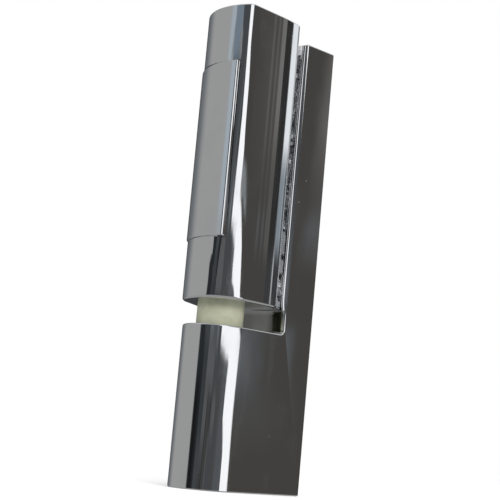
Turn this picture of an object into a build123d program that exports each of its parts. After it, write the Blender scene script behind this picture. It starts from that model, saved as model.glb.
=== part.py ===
from build123d import *

import os
from math import pi, sqrt

# Cam-rise hinge for a cooler door. The pin's axis is X = Y = 0 and the block's underside is Z = 0.
# +X is the hinge's flat side, -Y is the side that faces the room, +Z is up. The door hangs on the -X side.

os.makedirs("parts", exist_ok=True)

# Heights
block_height = 55.6
leaf_gap = 8.6
leaf_height = 102.8
flange_height = 162.0

# Frame leaf in plan, measured from the pin's axis
block_half_width = 12.7
block_nose_reach = 13.1
block_nose_radius = 14.3
block_nose_crest_x = 1.1
flange_front_y = 19.8
flange_thickness = 14.7
flange_left_x = -8.6
door_notch_y = 14.5
block_corner_radius = 4.0
block_left_corner_radius = 3.0
notch_radius = 2.0
flange_foot_radius = 1.5
frame_edge_radius = 0.6
frame_foot_chamfer = 0.4

# Back of the frame leaf, hollowed between walls
cast_wall = 3.0
flange_face_wall = 3.5
barrel_back_y = 12.5
block_rib = 4.0

# Frame screws, countersunk from the flange's front face
frame_screw_count = 3
frame_screw_pitch = 37.0
frame_screw_middle_z = 111.0
frame_screw_hole_radius = 2.75
frame_screw_head_radius = 5.2
frame_screw_head_angle = 82.0
screw_boss_half_height = 6.5

# Door leaf in plan, measured from the pin's axis
leaf_right_x = 13.9
leaf_front_left_x = -14.2
leaf_nose_reach = 14.2
leaf_nose_radius = 22.0
leaf_nose_crest_x = 4.0
leaf_back_y = 17.6
leaf_back_left_x = -24.0
leaf_back_right_x = 12.0
leaf_bend_y = 4.0
leaf_corner_radius = 3.0
leaf_left_corner_radius = 4.0
leaf_bend_radius = 60.0
leaf_back_corner_radius = 6.2
leaf_top_edge_radius = 0.5
leaf_bottom_edge_radius = 0.9

# Recesses in the door leaf's back
recess_left_x = -3.5
recess_right_x = 7.0
recess_floor_y = 8.5
recess_start = 30.8
recess_height = 30.0
recess_rib = 4.0

# Pin and its seat
pin_radius = 4.0
pin_fit = 0.08
pin_flat_depth = 1.0
pin_flat_start = 10.9
pin_top_rise = 81.8
pin_end_chamfer = 0.8
pin_seat_z = 8.0
disc_thickness = 1.2
pin_foot_gap = 0.02
pin_groove_z = 20.0
pin_groove_width = 4.6
pin_groove_depth = 1.0

# Cams: each has two helical ramps of half a turn, anticlockwise seen from above. The lower cam is
# measured from the block's top and the upper cam from the door leaf's lower end.
cam_radius = 8.2
cam_rise_per_radian = 4.0
cam_root_rise = 12.4
cam_face_gap = 0.36
cam_side_gap = 0.5
cam_cut_margin = 1.0
cam_seat_depth = 11.6
cam_flat_half_width = 7.2
lower_cam_shoulder_depth = 1.1
cam_body_gap = 0.3
seat_gap = 0.05
upper_cam_shoulder_rise = 18.3
upper_cam_top_rise = 24.3

# Sleeve that guides the pin's upper end, measured from the door leaf's lower end
sleeve_radius = 5.3
sleeve_start = 57.8
sleeve_length = 28.0
sleeve_bore_room = 4.5

# Set screw and spring pins
set_screw_radius = 2.0
set_screw_inset = 0.6
set_screw_socket_radius = 1.1
set_screw_socket_depth = 2.0
set_screw_tip_gap = 0.3
spring_pin_radius = 1.25
spring_pin_wall = 0.5
spring_pin_slot = 0.5
spring_pin_inset = 0.6
spring_pin_entry = 2.0
lower_cam_pin_depth = 6.1
upper_cam_pin_depth = 3.0

# Cover on the door leaf's nose, measured from the leaf's lower end
cover_thickness = 1.8
cover_proud = 0.5
cover_start = 21.0
cover_height = 61.3
cover_right_x = 11.0
cover_left_y = 6.0
cover_joint = 0.3
cover_back_gap = 0.1

# Pocket under the cover, with a door screw in each bay
pocket_wall = 3.0
pocket_floor_y = 9.5
pocket_right_x = -7.6
pocket_bays = 3
pocket_rib = 6.0
pocket_low_ledge = 6.0
pocket_high_ledge = 3.0
pocket_side_ledge = 1.8
door_screw_x = -14.5
door_screw_hole_radius = 2.25

# Studs of the cover and the split clips on them
stud_x = -10.9
stud_radius = 1.4
stud_length = 8.0
stud_root = 0.8
clip_inset = 2.4
clip_length = 4.0
clip_fit = 0.05
clip_wall = 0.35
clip_slot = 0.8


def nose_y(x, crest_x, reach, radius):
    """Y of a nose arc at x. The arc's foremost point is at crest_x, reach in front of the pin's axis."""
    return radius - reach - sqrt(radius**2 - (x - crest_x) ** 2)


# Values that follow from the sizes above
flange_back_y = flange_front_y + flange_thickness
flange_middle_x = (flange_left_x + block_half_width) / 2
flange_width = block_half_width - flange_left_x
leaf_bottom_z = block_height + leaf_gap
recess_bottom_z = leaf_bottom_z + recess_start
block_left_y = nose_y(-block_half_width, block_nose_crest_x, block_nose_reach, block_nose_radius)
block_right_y = nose_y(block_half_width, block_nose_crest_x, block_nose_reach, block_nose_radius)
leaf_left_y = nose_y(leaf_front_left_x, leaf_nose_crest_x, leaf_nose_reach, leaf_nose_radius)
leaf_right_y = nose_y(leaf_right_x, leaf_nose_crest_x, leaf_nose_reach, leaf_nose_radius)

pin_bore_radius = pin_radius + pin_fit
pin_bottom_z = pin_seat_z + disc_thickness + pin_foot_gap
pin_flat_bottom_z = block_height + pin_flat_start
pin_top_z = leaf_bottom_z + pin_top_rise
socket_radius = cam_radius + seat_gap
cam_rise = cam_rise_per_radian * pi
cam_root_z = block_height + cam_root_rise
cam_seat_z = block_height - cam_seat_depth
lower_cam_flat_top_z = block_height - lower_cam_shoulder_depth
upper_cam_flat_z = leaf_bottom_z + upper_cam_shoulder_rise
upper_cam_top_z = leaf_bottom_z + upper_cam_top_rise
lower_cam_pin_z = block_height - lower_cam_pin_depth
upper_cam_pin_z = upper_cam_top_z - upper_cam_pin_depth
cam_bore_radius = cam_radius + cam_body_gap
upper_cam_radius = cam_bore_radius - seat_gap
upper_cam_root_z = cam_root_z + cam_face_gap
cam_socket_flat = cam_flat_half_width + seat_gap
sleeve_bore_radius = sleeve_radius + seat_gap
sleeve_bottom_z = leaf_bottom_z + sleeve_start
sleeve_top_z = sleeve_bottom_z + sleeve_length
sleeve_bore_top_z = sleeve_top_z + sleeve_bore_room

frame_screw_low_z = frame_screw_middle_z - (frame_screw_count - 1) / 2 * frame_screw_pitch
frame_screw_zs = [frame_screw_low_z + i * frame_screw_pitch for i in range(frame_screw_count)]

cover_bottom_z = leaf_bottom_z + cover_start
cover_top_z = cover_bottom_z + cover_height
pocket_bottom_z = cover_bottom_z + pocket_low_ledge
pocket_top_z = cover_top_z - pocket_high_ledge
bay_height = (pocket_top_z - pocket_bottom_z - (pocket_bays - 1) * pocket_rib) / pocket_bays
bay_pitch = bay_height + pocket_rib
bay_zs = [pocket_bottom_z + bay_height / 2 + i * bay_pitch for i in range(pocket_bays)]
stud_zs = [(low + high) / 2 for low, high in zip(bay_zs, bay_zs[1:])]

cover_seat_depth = cover_thickness - cover_proud + cover_back_gap
stud_start_y = nose_y(stud_x, leaf_nose_crest_x, leaf_nose_reach, leaf_nose_radius) + stud_root
clip_start_y = stud_start_y + cover_seat_depth + clip_inset
clip_radius = stud_radius + clip_fit + clip_wall
stud_hole_radius = clip_radius + seat_gap


# Plan of the block: curved nose, flat right side, flange behind and a notch for the door's edge
with BuildSketch() as block_plan:
    with BuildLine():
        ThreePointArc(
            (-block_half_width, block_left_y),
            (block_nose_crest_x, -block_nose_reach),
            (block_half_width, block_right_y),
        )
        Polyline(
            (block_half_width, block_right_y),
            (block_half_width, flange_back_y),
            (flange_left_x, flange_back_y),
            (flange_left_x, door_notch_y),
            (-block_half_width, door_notch_y),
            (-block_half_width, block_left_y),
        )
    make_face()
    for x, y, radius in (
        (block_half_width, block_right_y, block_corner_radius),
        (-block_half_width, block_left_y, block_left_corner_radius),
        (flange_left_x, door_notch_y, notch_radius),
    ):
        fillet(block_plan.vertices().sort_by_distance((x, y))[0], radius)

# Plan of the door leaf: curved nose, right side that bends inwards behind, a back corner rounded to clear
# the flange as the leaf turns, and a foot for the door
with BuildSketch() as leaf_plan:
    with BuildLine():
        ThreePointArc(
            (leaf_front_left_x, leaf_left_y),
            (leaf_nose_crest_x, -leaf_nose_reach),
            (leaf_right_x, leaf_right_y),
        )
        Polyline(
            (leaf_right_x, leaf_right_y),
            (leaf_right_x, leaf_bend_y),
            (leaf_back_right_x, leaf_back_y),
            (leaf_back_left_x, leaf_back_y),
            (leaf_front_left_x, leaf_left_y),
        )
    make_face()
    for x, y, radius in (
        (leaf_right_x, leaf_right_y, leaf_corner_radius),
        (leaf_front_left_x, leaf_left_y, leaf_left_corner_radius),
        (leaf_right_x, leaf_bend_y, leaf_bend_radius),
        (leaf_back_right_x, leaf_back_y, leaf_back_corner_radius),
    ):
        fillet(leaf_plan.vertices().sort_by_distance((x, y))[0], radius)

# The cover's window in plan: before the axis up to the right edge, and left of the axis up to the left edge
window_reach = 3 * block_nose_reach
with BuildSketch() as cover_window:
    with Locations((cover_right_x, 0), (0, cover_left_y)):
        Rectangle(window_reach, window_reach, align=(Align.MAX, Align.MAX))

with BuildSketch() as seat_window:
    with Locations((cover_right_x + cover_joint, 0), (0, cover_left_y + cover_joint)):
        Rectangle(window_reach, window_reach, align=(Align.MAX, Align.MAX))

# Band of the cover, and band of the seat that is cut for it in the door leaf
with BuildSketch() as cover_band:
    add(leaf_plan.sketch)
    offset(amount=cover_proud)
    with BuildSketch(mode=Mode.PRIVATE) as cover_inside:
        add(leaf_plan.sketch)
        offset(amount=cover_proud - cover_thickness)
    add(cover_inside.sketch, mode=Mode.SUBTRACT)
    add(cover_window.sketch, mode=Mode.INTERSECT)

with BuildSketch() as seat_band:
    add(leaf_plan.sketch)
    offset(amount=cover_proud)
    with BuildSketch(mode=Mode.PRIVATE) as seat_inside:
        add(leaf_plan.sketch)
        offset(amount=-cover_seat_depth)
    add(seat_inside.sketch, mode=Mode.SUBTRACT)
    add(seat_window.sketch, mode=Mode.INTERSECT)

# Pocket in plan: open to the front left, walled on the left beside the door's foot
with BuildSketch() as pocket_plan:
    add(leaf_plan.sketch)
    offset(amount=-pocket_wall)
    with Locations((pocket_right_x, pocket_floor_y)):
        Rectangle(window_reach, window_reach, align=(Align.MAX, Align.MAX), mode=Mode.INTERSECT)
    with Locations((pocket_right_x, cover_left_y - pocket_side_ledge)):
        Rectangle(window_reach, window_reach, align=(Align.MAX, Align.MAX))

# Void above or below a half turn of ramp, wider than the cam
ramp_middle = (pin_bore_radius + cam_radius) / 2
ramp_width = cam_radius - pin_bore_radius + 2 * cam_cut_margin

with BuildPart() as lower_ramp_void:
    with BuildLine(mode=Mode.PRIVATE) as lower_ramp_path:
        Helix(
            pitch=2 * pi * cam_rise_per_radian,
            height=cam_rise,
            radius=ramp_middle,
            center=(0, 0, cam_root_z),
        )
    with BuildSketch(Plane.XZ):
        with Locations((ramp_middle, cam_root_z)):
            Rectangle(ramp_width, cam_rise + cam_cut_margin, align=(Align.CENTER, Align.MIN))
    sweep(path=lower_ramp_path.line, is_frenet=True)

with BuildPart() as upper_ramp_void:
    with BuildLine(mode=Mode.PRIVATE) as upper_ramp_path:
        Helix(
            pitch=2 * pi * cam_rise_per_radian,
            height=cam_rise,
            radius=ramp_middle,
            center=(0, 0, upper_cam_root_z),
        )
    with BuildSketch(Plane.XZ):
        with Locations((ramp_middle, upper_cam_root_z)):
            Rectangle(ramp_width, cam_rise + cam_cut_margin, align=(Align.CENTER, Align.MAX))
    sweep(path=upper_ramp_path.line, is_frenet=True)


# Frame leaf, one casting
with BuildPart() as frame_leaf:
    with BuildSketch():
        add(block_plan.sketch)
    extrude(amount=block_height)
    with BuildSketch(Plane.XY.offset(block_height)):
        with Locations((flange_middle_x, flange_front_y)):
            Rectangle(flange_width, flange_thickness, align=(Align.CENTER, Align.MIN))
    extrude(amount=flange_height - block_height)

    foot_middle = (flange_middle_x, flange_front_y, block_height)
    foot = frame_leaf.edges().filter_by(Axis.X).sort_by_distance(foot_middle)[0]
    fillet(foot, flange_foot_radius)

    # One rim runs round the block's top, up the flange's front edges through the foot, and over its top
    block_top = frame_leaf.faces().filter_by(Axis.Z).group_by(Axis.Z)[-2]
    rims = block_top.edges().sort_by_distance(foot_middle)[1:]
    flange_top_middle = (flange_middle_x, flange_front_y, flange_height)
    flange_front = frame_leaf.faces().filter_by(Axis.Y).sort_by_distance(flange_top_middle)[0]
    rims += flange_front.edges().filter_by(Axis.Z)
    rims += frame_leaf.edges().filter_by(GeomType.CIRCLE).filter_by_position(
        Axis.Z, block_height, block_height + flange_foot_radius, inclusive=(False, False)
    )
    rims += frame_leaf.faces().sort_by(Axis.Z)[-1].edges()
    fillet(rims, frame_edge_radius)
    chamfer(frame_leaf.faces().sort_by(Axis.Z)[0].edges(), frame_foot_chamfer)

    # Socket of the lower cam and bore of the pin
    with BuildSketch(Plane.XY.offset(cam_seat_z)):
        Circle(socket_radius)
        Rectangle(2 * cam_socket_flat, 2 * socket_radius, mode=Mode.INTERSECT)
    extrude(amount=block_height - cam_seat_z, mode=Mode.SUBTRACT)
    with BuildSketch(Plane.XY.offset(lower_cam_flat_top_z)):
        Circle(socket_radius)
    extrude(amount=block_height - lower_cam_flat_top_z, mode=Mode.SUBTRACT)
    with BuildSketch(Plane.XY.offset(pin_seat_z)):
        Circle(pin_bore_radius)
    extrude(amount=cam_seat_z - pin_seat_z, mode=Mode.SUBTRACT)

    # Holes of the set screw and of the lower cam's spring pin, from the left side
    with BuildSketch(Plane.YZ.offset(-block_half_width)):
        with Locations((0, pin_groove_z)):
            Circle(set_screw_radius)
        with Locations((0, lower_cam_pin_z)):
            Circle(spring_pin_radius)
    extrude(amount=block_half_width - pin_radius + pin_groove_depth, mode=Mode.SUBTRACT)

    # Frame screws
    for z in frame_screw_zs:
        with Locations(Plane((flange_middle_x, flange_front_y, z), x_dir=(1, 0, 0), z_dir=(0, -1, 0))):
            CounterSinkHole(
                radius=frame_screw_hole_radius,
                counter_sink_radius=frame_screw_head_radius,
                depth=flange_thickness,
                counter_sink_angle=frame_screw_head_angle,
            )

    # Hollows in the back: two behind the block's barrel, and those between the screw bosses
    hollow_width = flange_width - 2 * cast_wall
    half_rib = block_rib / 2
    block_middle_z = block_height / 2
    block_hollows = (
        (cast_wall, block_middle_z - half_rib),
        (block_middle_z + half_rib, block_height - cast_wall),
    )
    bosses = [(z - screw_boss_half_height, z + screw_boss_half_height) for z in frame_screw_zs]
    flange_hollows = [(low[1], high[0]) for low, high in zip(bosses, bosses[1:])]
    flange_hollows.append((block_height, bosses[0][0]))
    for depth, spans in (
        (flange_back_y - barrel_back_y, block_hollows),
        (flange_thickness - flange_face_wall, flange_hollows),
    ):
        with BuildSketch(Plane.XZ.offset(-flange_back_y)):
            for low, high in spans:
                with Locations((flange_middle_x, (low + high) / 2)):
                    Rectangle(hollow_width, high - low)
        extrude(amount=depth, mode=Mode.SUBTRACT)
frame_leaf.part.label = "frame_leaf"
export_step(frame_leaf.part, "parts/frame_leaf.step")

# Door leaf, one casting
with BuildPart() as door_leaf:
    with BuildSketch(Plane.XY.offset(leaf_bottom_z)):
        add(leaf_plan.sketch)
    extrude(amount=leaf_height)
    fillet(door_leaf.faces().sort_by(Axis.Z)[0].edges(), leaf_bottom_edge_radius)
    fillet(door_leaf.faces().sort_by(Axis.Z)[-1].edges(), leaf_top_edge_radius)

    # Bore of the cams, open below, with flats for the upper cam, and bore of the sleeve above
    with BuildSketch(Plane.XY.offset(leaf_bottom_z)):
        Circle(cam_bore_radius)
    extrude(amount=upper_cam_flat_z - leaf_bottom_z, mode=Mode.SUBTRACT)
    with BuildSketch(Plane.XY.offset(upper_cam_flat_z)):
        Circle(cam_bore_radius)
        Rectangle(2 * cam_socket_flat, 2 * cam_bore_radius, mode=Mode.INTERSECT)
    extrude(amount=upper_cam_top_z - upper_cam_flat_z, mode=Mode.SUBTRACT)
    with BuildSketch(Plane.XY.offset(upper_cam_top_z)):
        Circle(sleeve_bore_radius)
    extrude(amount=sleeve_bore_top_z - upper_cam_top_z, mode=Mode.SUBTRACT)

    # Seat of the cover, then the pocket's bays and the door screws' holes in their floors
    with BuildSketch(Plane.XY.offset(cover_bottom_z - cover_joint)):
        add(seat_band.sketch)
    extrude(amount=cover_top_z - cover_bottom_z + 2 * cover_joint, mode=Mode.SUBTRACT)
    for z in bay_zs:
        with BuildSketch(Plane.XY.offset(z - bay_height / 2)):
            add(pocket_plan.sketch)
        extrude(amount=bay_height, mode=Mode.SUBTRACT)
    with BuildSketch(Plane.XZ.offset(-leaf_back_y)):
        for z in bay_zs:
            with Locations((door_screw_x, z)):
                Circle(door_screw_hole_radius)
    extrude(amount=leaf_back_y - pocket_floor_y, mode=Mode.SUBTRACT)

    # Holes in the ribs for the cover's clips
    with BuildSketch(Plane.XZ.offset(-clip_start_y - clip_length - clip_inset)):
        for z in stud_zs:
            with Locations((stud_x, z)):
                Circle(stud_hole_radius)
    extrude(amount=window_reach, mode=Mode.SUBTRACT)

    # Recesses in the back and the hole of the upper cam's spring pin
    with BuildSketch(Plane.XZ.offset(-leaf_back_y)):
        for i in range(2):
            with Locations((recess_left_x, recess_bottom_z + i * (recess_height + recess_rib))):
                Rectangle(recess_right_x - recess_left_x, recess_height, align=(Align.MIN, Align.MIN))
    extrude(amount=leaf_back_y - recess_floor_y, mode=Mode.SUBTRACT)
    with BuildSketch(Plane.XZ.offset(-leaf_back_y)):
        with Locations((0, upper_cam_pin_z)):
            Circle(spring_pin_radius)
    extrude(amount=leaf_back_y - pin_radius, mode=Mode.SUBTRACT)
door_leaf.part.label = "door_leaf"
export_step(door_leaf.part, "parts/door_leaf.step")

# Cover with its two studs
with BuildPart() as cover_plate:
    with BuildSketch(Plane.XY.offset(cover_bottom_z)):
        add(cover_band.sketch)
    extrude(amount=cover_top_z - cover_bottom_z)
    with BuildSketch(Plane.XZ.offset(-stud_start_y)):
        for z in stud_zs:
            with Locations((stud_x, z)):
                Circle(stud_radius)
    extrude(amount=-stud_length)
cover_plate.part.label = "cover_plate"
export_step(cover_plate.part, "parts/cover_plate.step")

# Split clips in the ribs, round the cover's studs
for place, z in zip(("lower", "upper"), stud_zs):
    with BuildPart() as cover_clip:
        with BuildSketch(Plane.XZ.offset(-clip_start_y)):
            with Locations((stud_x, z)):
                Circle(clip_radius)
                Circle(clip_radius - clip_wall, mode=Mode.SUBTRACT)
                Rectangle(clip_slot, 2 * clip_radius, align=(Align.CENTER, Align.MIN), mode=Mode.SUBTRACT)
        extrude(amount=-clip_length)
    cover_clip.part.label = f"cover_clip_{place}"
    export_step(cover_clip.part, f"parts/cover_clip_{place}.step")

# Lower cam: flats in the block's socket, plain collar, ramps on top
with BuildPart() as lower_cam:
    with BuildSketch(Plane.XY.offset(cam_seat_z)):
        Circle(cam_radius)
        Rectangle(2 * cam_flat_half_width, 2 * cam_radius, mode=Mode.INTERSECT)
    extrude(amount=lower_cam_flat_top_z - cam_seat_z)
    with BuildSketch(Plane.XY.offset(lower_cam_flat_top_z)):
        Circle(cam_radius)
    extrude(amount=cam_root_z + cam_rise - lower_cam_flat_top_z)
    with BuildSketch(Plane.XY.offset(cam_seat_z)):
        Circle(pin_bore_radius)
    extrude(amount=cam_root_z + cam_rise - cam_seat_z, mode=Mode.SUBTRACT)
    for turn in (0, 180):
        add(lower_ramp_void.part.rotate(Axis.Z, turn), mode=Mode.SUBTRACT)
    with BuildSketch(Plane.XY.offset(cam_root_z)):
        Rectangle(2 * cam_radius, 2 * cam_side_gap)
        Rectangle(2 * cam_radius, cam_side_gap, align=(Align.MIN, Align.MIN), mode=Mode.SUBTRACT)
        Rectangle(2 * cam_radius, cam_side_gap, align=(Align.MAX, Align.MAX), mode=Mode.SUBTRACT)
    extrude(amount=cam_rise, mode=Mode.SUBTRACT)
    with BuildSketch(Plane.YZ.offset(-cam_radius)):
        with Locations((0, lower_cam_pin_z)):
            Circle(spring_pin_radius)
    extrude(amount=cam_radius - cam_flat_half_width + spring_pin_entry, mode=Mode.SUBTRACT)
lower_cam.part.label = "lower_cam"
export_step(lower_cam.part, "parts/lower_cam.step")

# Upper cam: ramps below, flats above, and a bore with the pin's flat
with BuildPart() as upper_cam:
    with BuildSketch(Plane.XY.offset(upper_cam_root_z)):
        Circle(upper_cam_radius)
    extrude(amount=upper_cam_flat_z - upper_cam_root_z)
    with BuildSketch(Plane.XY.offset(upper_cam_flat_z)):
        Circle(upper_cam_radius)
        Rectangle(2 * cam_flat_half_width, 2 * upper_cam_radius, mode=Mode.INTERSECT)
    extrude(amount=upper_cam_top_z - upper_cam_flat_z)
    for turn in (0, 180):
        add(upper_ramp_void.part.rotate(Axis.Z, turn), mode=Mode.SUBTRACT)
    with BuildSketch(Plane.XY.offset(upper_cam_root_z)):
        Circle(pin_bore_radius)
        with Locations((0, pin_radius - pin_flat_depth + pin_fit)):
            Rectangle(2 * pin_radius, pin_radius, align=(Align.CENTER, Align.MIN), mode=Mode.SUBTRACT)
    extrude(amount=upper_cam_top_z - upper_cam_root_z, mode=Mode.SUBTRACT)
    with BuildSketch(Plane.XZ.offset(-upper_cam_radius)):
        with Locations((0, upper_cam_pin_z)):
            Circle(spring_pin_radius)
    extrude(amount=spring_pin_entry, mode=Mode.SUBTRACT)
upper_cam.part.label = "upper_cam"
export_step(upper_cam.part, "parts/upper_cam.step")

# Pin: groove near the foot for the set screw, flat along the upper part
with BuildPart() as hinge_pin:
    with BuildSketch(Plane.XY.offset(pin_bottom_z)):
        Circle(pin_radius)
    extrude(amount=pin_top_z - pin_bottom_z)
    chamfer(hinge_pin.edges().group_by(Axis.Z)[0] + hinge_pin.edges().group_by(Axis.Z)[-1], pin_end_chamfer)
    with BuildSketch(Plane.XY.offset(pin_groove_z - pin_groove_width / 2)):
        Circle(2 * pin_radius)
        Circle(pin_radius - pin_groove_depth, mode=Mode.SUBTRACT)
    extrude(amount=pin_groove_width, mode=Mode.SUBTRACT)
    with BuildSketch(Plane.XY.offset(pin_flat_bottom_z)):
        with Locations((0, pin_radius - pin_flat_depth)):
            Rectangle(2 * pin_radius, pin_radius, align=(Align.CENTER, Align.MIN))
    extrude(amount=pin_top_z - pin_flat_bottom_z, mode=Mode.SUBTRACT)
hinge_pin.part.label = "hinge_pin"
export_step(hinge_pin.part, "parts/hinge_pin.step")

with BuildPart() as thrust_disc:
    with BuildSketch(Plane.XY.offset(pin_seat_z)):
        Circle(pin_bore_radius - seat_gap)
    extrude(amount=disc_thickness)
thrust_disc.part.label = "thrust_disc"
export_step(thrust_disc.part, "parts/thrust_disc.step")

with BuildPart() as pin_sleeve:
    with BuildSketch(Plane.XY.offset(sleeve_bottom_z)):
        Circle(sleeve_radius)
        Circle(pin_bore_radius, mode=Mode.SUBTRACT)
    extrude(amount=sleeve_top_z - sleeve_bottom_z)
pin_sleeve.part.label = "pin_sleeve"
export_step(pin_sleeve.part, "parts/pin_sleeve.step")

with BuildPart() as pin_set_screw:
    with BuildSketch(Plane.YZ.offset(set_screw_inset - block_half_width)):
        with Locations((0, pin_groove_z)):
            Circle(set_screw_radius - seat_gap)
    extrude(amount=block_half_width - set_screw_inset - (pin_radius - pin_groove_depth) - set_screw_tip_gap)
    with BuildSketch(Plane.YZ.offset(set_screw_inset - block_half_width)):
        with Locations((0, pin_groove_z)):
            RegularPolygon(set_screw_socket_radius, 6)
    extrude(amount=set_screw_socket_depth, mode=Mode.SUBTRACT)
pin_set_screw.part.label = "pin_set_screw"
export_step(pin_set_screw.part, "parts/pin_set_screw.step")

# Spring pins: rolled tubes with a slot
with BuildPart() as lower_cam_pin:
    with BuildSketch(Plane.YZ.offset(spring_pin_inset - block_half_width)):
        with Locations((0, lower_cam_pin_z)):
            Circle(spring_pin_radius - seat_gap)
            Circle(spring_pin_radius - spring_pin_wall, mode=Mode.SUBTRACT)
            Rectangle(spring_pin_slot, spring_pin_radius, align=(Align.CENTER, Align.MIN), mode=Mode.SUBTRACT)
    extrude(amount=block_half_width - spring_pin_inset - cam_flat_half_width + spring_pin_entry - seat_gap)
lower_cam_pin.part.label = "lower_cam_pin"
export_step(lower_cam_pin.part, "parts/lower_cam_pin.step")

with BuildPart() as upper_cam_pin:
    with BuildSketch(Plane.XZ.offset(spring_pin_inset - leaf_back_y)):
        with Locations((0, upper_cam_pin_z)):
            Circle(spring_pin_radius - seat_gap)
            Circle(spring_pin_radius - spring_pin_wall, mode=Mode.SUBTRACT)
            Rectangle(spring_pin_slot, spring_pin_radius, align=(Align.CENTER, Align.MIN), mode=Mode.SUBTRACT)
    extrude(amount=leaf_back_y - spring_pin_inset - upper_cam_radius + spring_pin_entry - seat_gap)
upper_cam_pin.part.label = "upper_cam_pin"
export_step(upper_cam_pin.part, "parts/upper_cam_pin.step")
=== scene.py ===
import logging
from dataclasses import dataclass, field
from enum import Enum
from math import atan2, cos, degrees, hypot, pi, radians, sin, sqrt, tan
from typing import Any, Union

import bmesh
import bpy
from mathutils import Matrix, Vector


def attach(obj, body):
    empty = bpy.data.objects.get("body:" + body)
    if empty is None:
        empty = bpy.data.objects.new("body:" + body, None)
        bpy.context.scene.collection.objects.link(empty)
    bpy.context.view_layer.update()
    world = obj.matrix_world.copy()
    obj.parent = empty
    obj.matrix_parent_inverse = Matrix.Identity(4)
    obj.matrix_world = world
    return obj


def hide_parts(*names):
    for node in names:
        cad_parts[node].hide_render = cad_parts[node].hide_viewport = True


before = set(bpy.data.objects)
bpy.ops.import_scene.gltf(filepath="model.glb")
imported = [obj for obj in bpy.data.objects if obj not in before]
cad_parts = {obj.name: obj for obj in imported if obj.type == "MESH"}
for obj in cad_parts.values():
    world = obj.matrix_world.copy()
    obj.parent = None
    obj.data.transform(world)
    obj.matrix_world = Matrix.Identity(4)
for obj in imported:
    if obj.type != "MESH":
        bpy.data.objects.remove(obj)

LOG = logging.getLogger("cam_rise_hinge")
MM = 0.001
HALF_TURN = 180.0

# Edges shorter than this, in metres, are merged away
SMALLEST_EDGE = 1e-6
# Faces that meet at less than this are joined into one
FLAT_ANGLE = radians(0.3)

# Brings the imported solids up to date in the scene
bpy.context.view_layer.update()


class Body(Enum):
    """Rigid bodies of the hinge that dressed pieces ride on."""

    FRAME = "frame"
    LEAF = "leaf"


class Slot(Enum):
    """Material slots of the record."""

    CHROME = "leaf_chrome"
    NYLON = "nylon"
    PIN = "pin_steel"
    SPRING = "spring_steel"


class Value:
    """A number socket in a node tree, on which arithmetic adds Math nodes."""

    def __init__(self, kit: "NodeKit", socket: bpy.types.NodeSocket) -> None:
        """Wraps a socket.

        Args:
            socket: The output socket that carries the value.
        """
        self.kit = kit
        self.socket = socket

    def _join(self, operation: str, left: "Operand", right: "Operand") -> "Value":
        """Adds one Math node and returns its result."""
        return self.kit.maths(operation, left, right)

    def __add__(self, other: Any) -> "Value":
        """Sum."""
        return self._join("ADD", self, other)

    def __radd__(self, other: Any) -> "Value":
        """Reflected sum."""
        return self._join("ADD", other, self)

    def __sub__(self, other: Any) -> "Value":
        """Difference."""
        return self._join("SUBTRACT", self, other)

    def __rsub__(self, other: Any) -> "Value":
        """Reflected difference."""
        return self._join("SUBTRACT", other, self)

    def __mul__(self, other: Any) -> "Value":
        """Product."""
        return self._join("MULTIPLY", self, other)

    def __rmul__(self, other: Any) -> "Value":
        """Reflected product."""
        return self._join("MULTIPLY", other, self)

    def __truediv__(self, other: Any) -> "Value":
        """Quotient."""
        return self._join("DIVIDE", self, other)

    def rise(self, low: float, high: float) -> "Value":
        """Smooth step, which may run either way.

        Args:
            low: Where it is 0.
            high: Where it is 1.

        Returns:
            The step's value.
        """
        flipped = high < low
        mapped = self.kit.node(
            "ShaderNodeMapRange",
            {"interpolation_type": "SMOOTHSTEP"},
            {
                "Value": self,
                "From Min": high if flipped else low,
                "From Max": low if flipped else high,
                "To Min": 1.0 if flipped else 0.0,
                "To Max": 0.0 if flipped else 1.0,
            },
        )
        return Value(self.kit, mapped.outputs["Result"])

    def band(self, low: float, high: float, edge_low: float, edge_high: float) -> "Value":
        """Smooth band from low to high.

        Args:
            low: Start of the band, at half its height.
            high: End of the band, at half its height.
            edge_low: Half width of the starting edge.
            edge_high: Half width of the ending edge.

        Returns:
            1 inside the band and 0 outside.
        """
        return self.rise(low - edge_low, low + edge_low) * self.rise(high + edge_high, high - edge_high)

    def course(self, stops: tuple[tuple[float, float], ...], span: float) -> "Value":
        """Runs the number through straight lines.

        Args:
            stops: Pairs of number and result, rising, results from 0 to the span.
            span: The largest result that can be given.

        Returns:
            The result, level beyond the first and the last pair.
        """
        low, high = stops[0][0], stops[-1][0]
        ramp = self.kit.node(
            "ShaderNodeValToRGB",
            {"stops": [((at - low) / (high - low), (result / span,) * 3) for at, result in stops]},
            {"Fac": (self - low) / (high - low)},
        )
        return Value(self.kit, ramp.outputs["Color"]) * span

    def where(self, other: "Operand") -> "Value":
        """1 where the number is above the other, else 0."""
        return self._join("GREATER_THAN", self, other)


Operand = Union[Value, float, int]


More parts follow.
